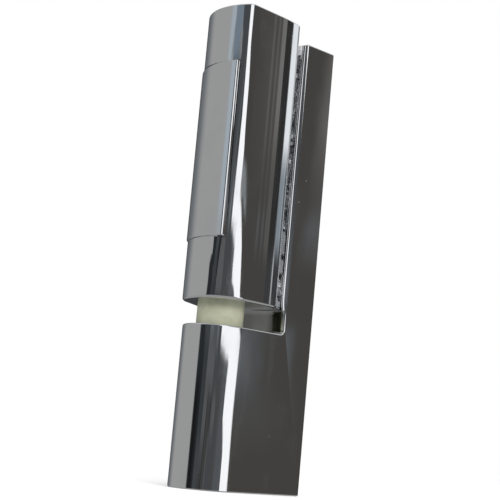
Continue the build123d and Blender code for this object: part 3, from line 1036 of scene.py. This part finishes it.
@dataclass(frozen=True)
class HelixCam:
    """Nylon cam with two helical ramps of half a turn each, in mm.

    Heights are along the pin. The end of the key and the shoulder lie below the ramps on the lower
    cam and above them on the upper one.
    """

    node: str
    name: str
    body: Body
    bore_radius: float
    outer_radius: float
    key_half_width: float
    key_end: float
    shoulder: float
    root: float
    side_gap: float
    bore_flat: float
    lead: float = 4.0
    rows: int = 56
    crease: float = 20.0

    def sizes(self) -> dict[str, float]:
        """The cam's sizes, as the nodes take them.

        Returns:
            Each size by the name of its input.
        """
        return {
            "Bore radius": self.bore_radius,
            "Outer radius": self.outer_radius,
            "Key half width": self.key_half_width,
            "Key end": self.key_end,
            "Shoulder": self.shoulder,
            "Root": self.root,
            "Lead": self.lead,
            "Side gap": self.side_gap,
            "Bore flat": self.bore_flat,
            "Rows": float(self.rows),
        }

    def group(self, nylon: bpy.types.Material) -> bpy.types.NodeTree:
        """The nodes that grow the cam from its sizes.

        Args:
            nylon: Its material.

        Returns:
            The node group, with one named input per size.
        """
        tree = bpy.data.node_groups.new(self.name, "GeometryNodeTree")
        tree.interface.new_socket("Geometry", in_out="INPUT", socket_type="NodeSocketGeometry")
        for size in self.sizes():
            tree.interface.new_socket(size, in_out="INPUT", socket_type="NodeSocketFloat")
        tree.interface.new_socket("Geometry", in_out="OUTPUT", socket_type="NodeSocketGeometry")
        kit = NodeKit(tree)
        given = kit.node("NodeGroupInput")
        size = {name: Value(kit, given.outputs[name]) for name in self.sizes()}
        rows = size["Rows"]

        # Each ramp takes its rows, one row at the foot of its tall end and one at the next ramp's start.
        # Each row is the cam's section, a closed loop of six corners.
        along = rows * 2.0 + 5.0
        grid = kit.node(
            "GeometryNodeMeshGrid",
            sockets={"Size X": along, "Size Y": 6.0, "Vertices X": along + 1.0, "Vertices Y": 7},
        )
        place = kit.node("GeometryNodeInputPosition")
        across_x, across_y, _ = kit.split(place.outputs[0])
        line = kit.maths("ROUND", across_x + along * 0.5)
        corner = kit.maths("ROUND", across_y + 3.0)
        second = line.where(rows + 2.5)
        step = line - second * (rows + 3.0)
        down = step.where(rows + 0.5)
        over = step.where(rows + 1.5)

        # Corners 1 to 4 lie outside and the others in the bore. The key's flats cut 1 and 2, the
        # shoulder carries 2 and 3, and the ramp 4 and 5.
        outside = corner.where(0.5) * (1.0 - corner.where(4.5))
        keyed = outside * (1.0 - corner.where(2.5))
        on_ramp = corner.where(3.5) * (1.0 - corner.where(5.5))
        on_shoulder = corner.where(1.5) * (1.0 - corner.where(3.5))
        radius = size["Bore radius"] + (size["Outer radius"] - size["Bore radius"]) * outside
        sweep = pi - kit.maths("ARCSINE", size["Side gap"] / radius) * (1.0 - over)
        turn = kit.maths("MINIMUM", step / rows, 1.0) * sweep
        whole = turn + second * pi
        x = radius * kit.maths("COSINE", whole)
        y = radius * kit.maths("SINE", whole)
        key = size["Key half width"]
        clamped = kit.maths("MAXIMUM", kit.maths("MINIMUM", x, key), key * -1.0)
        x = x + (clamped - x) * keyed
        y = y + (kit.maths("MINIMUM", y, size["Bore flat"]) - y) * (1.0 - outside)
        ramp = size["Root"] + size["Lead"] * turn * (1.0 - down)
        z = size["Key end"] + (size["Shoulder"] - size["Key end"]) * on_shoulder
        z = z + (ramp - z) * on_ramp
        point = kit.node("ShaderNodeCombineXYZ", sockets={"X": x * MM, "Y": y * MM, "Z": z * MM})
        moved = kit.node(
            "GeometryNodeSetPosition",
            sockets={"Geometry": grid.outputs["Mesh"], "Position": point.outputs[0]},
        )
        merged = kit.node(
            "GeometryNodeMergeByDistance", sockets={"Geometry": moved.outputs[0], "Distance": 0.002 * MM}
        )
        real = kit.node("GeometryNodeRealizeInstances", sockets={"Geometry": merged.outputs[0]})
        dressed = kit.node(
            "GeometryNodeSetMaterial", sockets={"Geometry": real.outputs[0], "Material": nylon}
        )
        kit.node("NodeGroupOutput", sockets={"Geometry": dressed.outputs[0]})
        return tree

    def build(self, nylon: bpy.types.Material) -> None:
        """Grows the cam, bakes it into a plain mesh and dresses it.

        Args:
            nylon: Its material.
        """
        seed = bpy.data.objects.new(self.name, bpy.data.meshes.new(self.name))
        bpy.context.scene.collection.objects.link(seed)
        grow = seed.modifiers.new("grow", "NODES")
        grow.node_group = self.group(nylon)
        for item in grow.node_group.interface.items_tree:
            if item.in_out == "INPUT" and item.name in self.sizes():
                grow[item.identifier] = self.sizes()[item.name]
        seed.update_tag()
        bpy.context.view_layer.update()
        grown = bpy.data.meshes.new_from_object(seed.evaluated_get(bpy.context.evaluated_depsgraph_get()))
        seed.modifiers.remove(grow)
        build = bmesh.new()
        build.from_mesh(grown)
        bmesh.ops.dissolve_degenerate(build, edges=build.edges, dist=SMALLEST_EDGE)
        bmesh.ops.recalc_face_normals(build, faces=build.faces)
        bpy.data.objects.remove(seed)
        wear(close(build, self.name, self.crease), self.body, nylon, self.node)


@dataclass
class CamPair:
    """The two nylon cams, ramp on ramp round the pin."""

    lower: HelixCam = HelixCam(
        node="lower_cam", name="lower_helix_cam", body=Body.FRAME, bore_radius=4.08, outer_radius=8.2,
        key_half_width=7.2, key_end=44.0, shoulder=54.5, root=68.0, side_gap=0.5, bore_flat=9.0,
    )
    upper: HelixCam = HelixCam(
        node="upper_cam", name="upper_helix_cam", body=Body.LEAF, bore_radius=4.08, outer_radius=8.45,
        key_half_width=7.2, key_end=88.5, shoulder=82.5, root=68.36, side_gap=0.0, bore_flat=3.08,
    )

    def build(self, nylon: bpy.types.Material) -> None:
        """Grows both cams."""
        self.lower.build(nylon)
        self.upper.build(nylon)


@dataclass
class PlainPieces:
    """Pieces that keep the solids' own meshes."""

    nylon: tuple[str, ...] = ("pin_sleeve",)
    pin: tuple[str, ...] = ("hinge_pin", "thrust_disc", "pin_set_screw")
    spring: tuple[str, ...] = ("cover_clip_lower", "cover_clip_upper", "lower_cam_pin", "upper_cam_pin")

    def build(self, finishes: dict[Slot, bpy.types.Material]) -> None:
        """Dresses each node with its slot's material.

        Args:
            finishes: The materials by slot.
        """
        for slot, names in ((Slot.NYLON, self.nylon), (Slot.PIN, self.pin), (Slot.SPRING, self.spring)):
            for name in names:
                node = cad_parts[name]
                node.data.materials.clear()
                node.data.materials.append(finishes[slot])
                LOG.info("%s: its own mesh, in %s", name, slot.value)


@dataclass(frozen=True)
class Card:
    """A soft-edged panel of the studio, by direction from the object.

    All sizes are in degrees. Turns are counted round the pin from -Y towards +X, heights from the
    horizon. An edge is half as wide as the blur on its side of the panel.
    """

    start: float
    end: float
    tone: tuple[float, float, float]
    edge: float = 2.0
    end_edge: float = 2.0
    low: float = -90.0
    high: float = 90.0
    low_edge: float = 1.0
    high_edge: float = 1.0
    strength: float = 1.0

    def mask(self, turn: Value, height: Value) -> Value:
        """Where the panel stands.

        Args:
            turn: The direction round the pin.
            height: The direction's height.

        Returns:
            1 on the panel and 0 beside it.
        """
        mask = turn.band(self.start, self.end, self.edge, self.end_edge)
        if self.low > -90.0 or self.high < 90.0:
            mask = mask * height.band(self.low, self.high, self.low_edge, self.high_edge)
        return mask


@dataclass
class Studio:
    """White room with panels that the chrome mirrors, floor and light."""

    base: tuple[float, float, float] = field(default_factory=lambda: grey(67, 0.06))
    cards: tuple[Card, ...] = (
        # Left of the nose: a pale wall that ends sharply, bluish farther round
        Card(-118, -22.5, grey(112, -0.08), edge=14, end_edge=1.2),
        Card(-92, -22.5, grey(156), edge=14, end_edge=1.2),
        Card(-34, -25.5, grey(172, -0.12), edge=2.5, end_edge=1.5, low=9.5, low_edge=1.5),
        # In front: dark door and the grey-blue things beyond it
        Card(-22.5, 66, grey(72, -0.06), edge=1.2, end_edge=3, low=-9, low_edge=3),
        Card(-21, -5.5, grey(44, -0.12), edge=1.5),
        Card(-5, 8.5, grey(72, -0.10), low=5.4),
        Card(-5, 9, grey(60, -0.12), end_edge=4, high=5.4),
        Card(9, 16, grey(42, -0.10), edge=2.5, high=9.0, high_edge=2.0),
        Card(19, 29, grey(104, -0.10), low=5.6, high=9, high_edge=2),
        Card(29, 40, grey(86, -0.10), low=5.6),
        Card(41, 48, grey(112, -0.08), low=5.6, high=9, high_edge=2),
        Card(17, 37, grey(90, -0.02), low=2.5, high=5.6),
        Card(70, 100, grey(86, -0.09), edge=8.0, high=5.6),
        Card(-24, -8, grey(126, -0.20), end_edge=4.0, low=16.5, low_edge=0.6),
        Card(-10, -7, grey(130, -0.02), edge=0.8, end_edge=0.8, low=16.5, low_edge=0.6),
        # Low in front: narrow posts, dark and pale in turn
        Card(-21, -9, grey(27, -0.10), edge=1.5, end_edge=3.0, high=3.0, high_edge=1.2),
        Card(-6, 10, grey(70, -0.10), edge=3.0, high=0.2),
        Card(11.5, 18.5, grey(86, -0.04), edge=3.0, end_edge=1.5, low=0.0, low_edge=0.8, high=3.0),
        Card(20.0, 28.5, grey(22), edge=1.5, end_edge=1.5, high=3.0),
        Card(28.5, 34.0, grey(64), edge=1.5, end_edge=1.5, high=3.0),
        Card(35.0, 40.0, grey(34), edge=1.5, end_edge=1.5, low=0.0, low_edge=0.8, high=3.0),
        Card(36.0, 40.0, grey(98), edge=1.2, end_edge=1.2, high=0.0, high_edge=0.8),
        Card(45.0, 56.0, grey(90), edge=3.0, end_edge=3.0, low=0.0, low_edge=0.8, high=3.0),
        # Faint grey patches that the flat sides mirror
        Card(99, 132, grey(146, -0.06), end_edge=5.0, low=9.7, low_edge=0.5, high=11.4, high_edge=0.5,
             strength=0.9),
        Card(135.5, 137.75, grey(88, -0.07), edge=1.0, end_edge=0.5, low=1.9, low_edge=1.1, high=5.6,
             high_edge=0.4, strength=0.9),
        Card(135.5, 137.05, grey(116, -0.08), edge=1.0, end_edge=0.4, low=3.2, low_edge=0.9, high=5.0,
             high_edge=0.5),
        Card(137.5, 139.5, grey(94, -0.08), edge=0.5, end_edge=0.6, low=8.8, low_edge=0.9, high=10.4,
             high_edge=0.8, strength=0.8),
        Card(136.2, 138.6, grey(76, 0.01), edge=0.5, end_edge=0.5, low=0.5, low_edge=1.2, high=2.6,
             high_edge=1.2, strength=0.7),
        # Behind: a soft window and dark corners for the other sides
        Card(143, 236, grey(60, -0.04), edge=1.0, end_edge=3.0),
        Card(138.0, 143.0, grey(112, 0.02), edge=1.6, end_edge=0.5, low=12.6, low_edge=2.4),
        Card(138.6, 142.4, grey(86, 0.03), edge=1.6, end_edge=0.6, low=8.4, high=12.4, high_edge=2.4),
        Card(143.0, 148.9, grey(46, 0.0), edge=0.5, end_edge=0.4, low=8.6, low_edge=0.8),
        Card(148.7, 150.0, grey(176, -0.02), edge=0.3, end_edge=0.3, high=8.6, high_edge=0.8),
        Card(149.2, 154, grey(140, -0.12), edge=0.5, end_edge=1.0, low=8.6, low_edge=0.8, high=12.6),
        Card(154, 164, grey(172, -0.12), edge=1.0, end_edge=3.0, low=8.6, low_edge=0.8, high=12.6),
        Card(164, 200, grey(96, -0.12), edge=3.0, end_edge=6.0, low=8.6, low_edge=0.8, high=12.6),
        Card(149.6, 178, grey(236, -0.04), edge=0.6, end_edge=9.0, low=12.6),
        Card(178, 204, grey(120, -0.08), edge=8.0, end_edge=6.0, low=12.6),
        Card(204, 222, (0.9, 0.9, 0.9), end_edge=5, low=-2, low_edge=4),
    )
    ceiling: tuple[float, float, float] = field(default_factory=lambda: grey(200))
    ground: tuple[float, float, float] = field(default_factory=lambda: grey(150))
    # Start and end of the large window right of the nose, by height above the horizon
    window_start: tuple[tuple[float, float], ...] = (
        (-2.0, 106.0), (1.2, 94.0), (4.6, 95.0), (5.8, 57.0), (8.0, 57.0), (13.0, 60.0), (15.0, 55.0),
        (18.0, 47.0),
    )
    window_end: tuple[tuple[float, float], ...] = (
        (-2.0, 134.0), (4.8, 133.5), (6.0, 120.5), (7.6, 119.0), (9.6, 99.0), (15.0, 101.0), (18.0, 83.0),
    )
    window_tone: tuple[float, float, float] = (1.02, 1.03, 1.05)
    window_edge: float = 1.6
    # Heights at which the ceiling and the ground start and are fully reached
    ceiling_heights: tuple[float, float] = (24.0, 60.0)
    ground_heights: tuple[float, float] = (-5.0, -22.0)
    # Directions are counted from here, all the way round
    first_turn: float = -125.0
    # What matt pieces see, from low to high
    low_light: tuple[float, float, float] = (0.62, 0.62, 0.62)
    high_light: tuple[float, float, float] = (1.16, 1.16, 1.16)
    light_heights: tuple[float, float] = (-20.0, 60.0)
    backdrop: tuple[float, float, float] = (1.0, 1.0, 1.0)
    floor_reach: float = 6.0
    floor_colour: tuple[float, float, float, float] = (0.98, 0.98, 0.98, 1.0)
    # The light's place, aim and size in metres
    lamp_place: tuple[float, float, float] = (0.55, -0.32, 0.30)
    lamp_aim: tuple[float, float, float] = (0.0, 0.0, 0.06)
    lamp_size: float = 0.3
    lamp_watts: float = 2.6

    def mirrored(self, kit: NodeKit, turn: Value, height: Value) -> bpy.types.NodeSocket:
        """What mirror pieces see in a direction.

        Args:
            turn: The direction round the pin, in degrees.
            height: The direction's height above the horizon, in degrees.

        Returns:
            The colour's socket.
        """
        colour = kit.mix(0.0, self.base, self.base)
        for card in self.cards:
            colour = kit.mix(card.mask(turn, height) * card.strength, colour, card.tone)
        start = height.course(self.window_start, HALF_TURN)
        end = height.course(self.window_end, HALF_TURN)
        edge = self.window_edge
        window = (turn - start).rise(-edge, edge) * (end - turn).rise(-edge, edge)
        colour = kit.mix(window, colour, self.window_tone)
        colour = kit.mix(height.rise(*self.ceiling_heights), colour, self.ceiling)
        return kit.mix(height.rise(*self.ground_heights), colour, self.ground)

    def world(self) -> None:
        """Paints the room: white for the camera, soft light for matt pieces, panels for mirror pieces."""
        world = bpy.data.worlds.new("studio")
        world.use_nodes = True
        bpy.context.scene.world = world
        kit = NodeKit(world.node_tree)
        place = kit.node("ShaderNodeTexCoord")
        x, y, z = kit.split(place.outputs["Generated"])
        turn = kit.maths("ARCTAN2", x, y * -1.0) * degrees(1.0)
        turn = turn + 2 * HALF_TURN * (1.0 - turn.where(self.first_turn))
        height = kit.maths("ARCSINE", z) * degrees(1.0)
        colour = self.mirrored(kit, turn, height)
        paths = kit.node("ShaderNodeLightPath")
        room = kit.mix(height.rise(*self.light_heights), self.low_light, self.high_light)
        panels = kit.mix(Value(kit, paths.outputs["Is Diffuse Ray"]), colour, room)
        seen = kit.mix(Value(kit, paths.outputs["Is Camera Ray"]), panels, self.backdrop)
        back = kit.node("ShaderNodeBackground", sockets={"Color": seen, "Strength": 1.0})
        kit.node("ShaderNodeOutputWorld", sockets={"Surface": back.outputs[0]})

    def floor(self) -> None:
        """Lays the pale floor, which matt pieces see and mirror pieces don't."""
        mesh = bpy.data.meshes.new("studio_floor")
        reach = self.floor_reach
        corners = [(-reach, -reach, 0), (reach, -reach, 0), (reach, reach, 0), (-reach, reach, 0)]
        mesh.from_pydata(corners, [], [(0, 1, 2, 3)])
        floor = bpy.data.objects.new("studio_floor", mesh)
        bpy.context.scene.collection.objects.link(floor)
        paper, kit = new_material("studio_paper")
        kit.surface("ShaderNodeBsdfDiffuse", {"Color": self.floor_colour})
        mesh.materials.append(paper)
        floor.visible_glossy = False

    def lamp(self) -> None:
        """Hangs the one soft light, which the chrome doesn't mirror."""
        light = bpy.data.lights.new("soft_right", "AREA")
        light.size = self.lamp_size
        light.energy = self.lamp_watts
        lamp = bpy.data.objects.new("soft_right", light)
        place, aim = Vector(self.lamp_place), Vector(self.lamp_aim)
        lamp.location = place
        lamp.rotation_euler = (aim - place).to_track_quat("-Z", "Y").to_euler()
        lamp.visible_glossy = False
        bpy.context.scene.collection.objects.link(lamp)

    def build(self) -> None:
        """Makes the room, its floor and its light, and sets how the picture is developed."""
        self.world()
        self.floor()
        self.lamp()
        scene = bpy.context.scene
        scene.view_settings.view_transform = "Standard"
        scene.view_settings.look = "None"
        scene.cycles.max_bounces = 20
        scene.cycles.glossy_bounces = 16
        scene.cycles.diffuse_bounces = 6


@dataclass(frozen=True)
class Viewpoint:
    """Camera at the photograph's angle: low, to the right of the nose, looking up.

    Angles are in degrees, the lens in mm.
    """

    place_mm: tuple[float, float, float] = (320.0, -331.0, 14.0)
    azimuth: float = 43.0
    elevation: float = -8.6
    roll: float = 5.1
    lens: float = 95.8

    def build(self) -> None:
        """Makes the camera and gives it to the scene."""
        azimuth, elevation, roll = radians(self.azimuth), radians(self.elevation), radians(self.roll)
        ahead = Vector(
            (-sin(azimuth) * cos(elevation), cos(azimuth) * cos(elevation), -sin(elevation))
        )
        level = ahead.cross(Vector((0, 0, 1))).normalized()
        above = level.cross(ahead).normalized()
        right = cos(roll) * level + sin(roll) * above
        up = -sin(roll) * level + cos(roll) * above
        turn = Matrix((right, up, -ahead)).transposed().to_4x4()
        data = bpy.data.cameras.new("camera")
        data.lens = self.lens
        data.sensor_width = 36.0
        data.clip_start = 0.01
        data.clip_end = 20.0
        camera = bpy.data.objects.new("camera", data)
        camera.matrix_world = Matrix.Translation(Vector(self.place_mm) * MM) @ turn
        bpy.context.scene.collection.objects.link(camera)
        bpy.context.scene.camera = camera


def main() -> None:
    """Builds the studio, then the hinge piece by piece."""
    logging.basicConfig(level=logging.INFO, format="%(name)s %(message)s")
    Viewpoint().build()
    Studio().build()
    finishes = {
        Slot.CHROME: CastChrome().material(),
        Slot.NYLON: MouldedNylon().material(),
        Slot.PIN: TurnedSteel("pin_steel", colour=(0.56, 0.57, 0.58), roughness=0.22).material(),
        Slot.SPRING: TurnedSteel("spring_steel", colour=(0.45, 0.46, 0.48), roughness=0.32).material(),
    }
    FrameLeaf().build(finishes[Slot.CHROME])
    DoorLeaf().build(finishes[Slot.CHROME])
    NoseCover().build(finishes[Slot.CHROME])
    CamPair().build(finishes[Slot.NYLON])
    PlainPieces().build(finishes)


if __name__ == "__main__":
    main()
